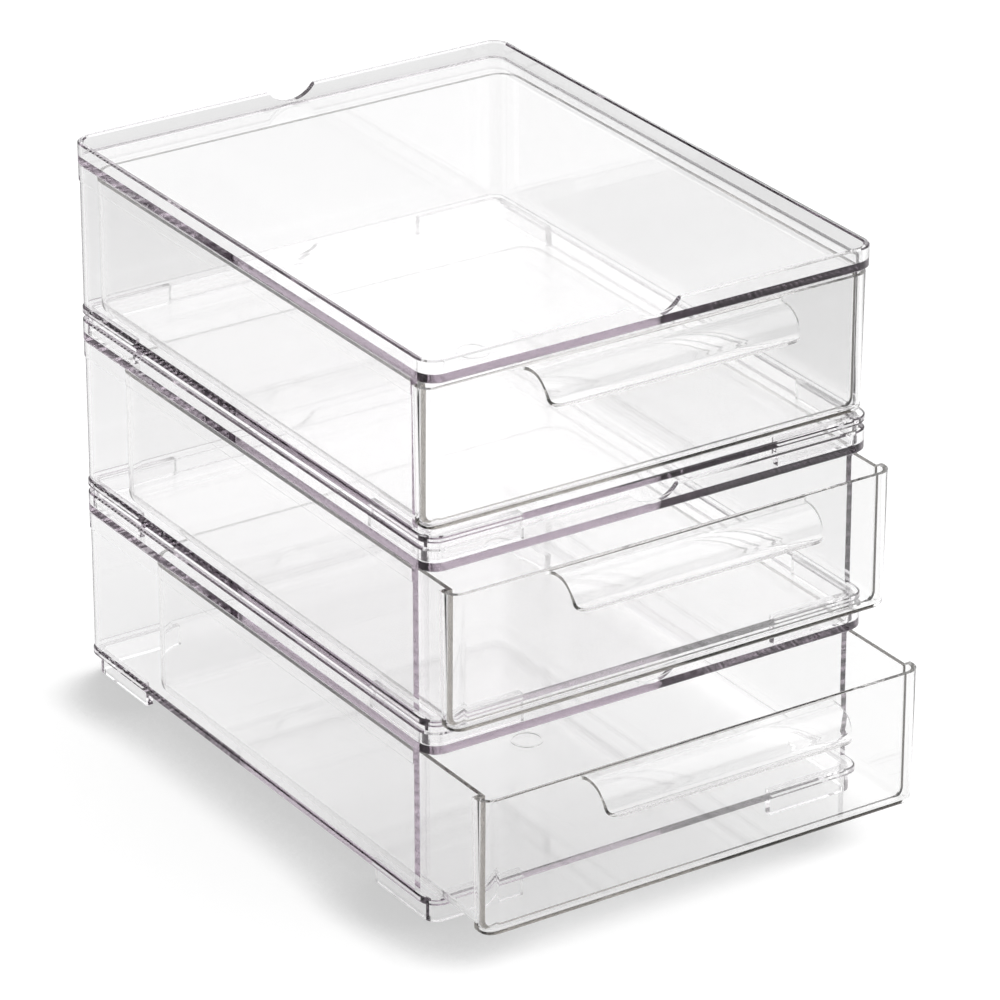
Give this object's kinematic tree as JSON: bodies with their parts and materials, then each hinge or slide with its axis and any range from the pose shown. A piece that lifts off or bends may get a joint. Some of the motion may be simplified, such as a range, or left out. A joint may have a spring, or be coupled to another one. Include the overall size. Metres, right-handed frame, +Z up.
{
  "type": "stackable storage drawer",
  "caption": "Stack of clear plastic storage drawers: open-front cases with lipped lids and nesting feet, each with a slide-out tub whose wrap-round front carries a curled finger pull.",
  "frame": {"origin": "on the floor plane under the feet of the lowest unit, at the centre of the case outline in X and Y", "axes": "+X to the right seen from the front, +Y to the back (drawers open towards -Y), +Z up"},
  "size_m": [0.2, 0.3125, 0.2309],
  "materials": {
    "clear_plastic": "clear moulded plastic, polished"
  },
  "bodies": {
    "lower_unit": {"lower_case": "clear_plastic", "lower_lid": "clear_plastic"},
    "middle_unit": {"middle_case": "clear_plastic", "middle_lid": "clear_plastic"},
    "upper_unit": {"upper_case": "clear_plastic", "upper_lid": "clear_plastic"},
    "lower_drawer": {"lower_drawer": "clear_plastic"},
    "middle_drawer": {"middle_drawer": "clear_plastic"},
    "upper_drawer": {"upper_drawer": "clear_plastic"}
  },
  "joints": [
    {"name": "lower_drawer_slide", "type": "slide", "parent": "lower_unit", "child": "lower_drawer", "axis": [0, -1, 0], "range_m": [-0.039, 0.141]},
    {"name": "middle_drawer_slide", "type": "slide", "parent": "middle_unit", "child": "middle_drawer", "axis": [0, -1, 0], "range_m": [-0.0175, 0.1625]},
    {"name": "upper_drawer_slide", "type": "slide", "parent": "upper_unit", "child": "upper_drawer", "axis": [0, -1, 0], "range_m": [0, 0.18]},
    {"name": "middle_unit_lift", "type": "slide", "parent": "lower_unit", "child": "middle_unit", "axis": [0, 0, 1], "range_m": [0, 0.03]},
    {"name": "upper_unit_lift", "type": "slide", "parent": "middle_unit", "child": "upper_unit", "axis": [0, 0, 1], "range_m": [0, 0.03]}
  ]
}
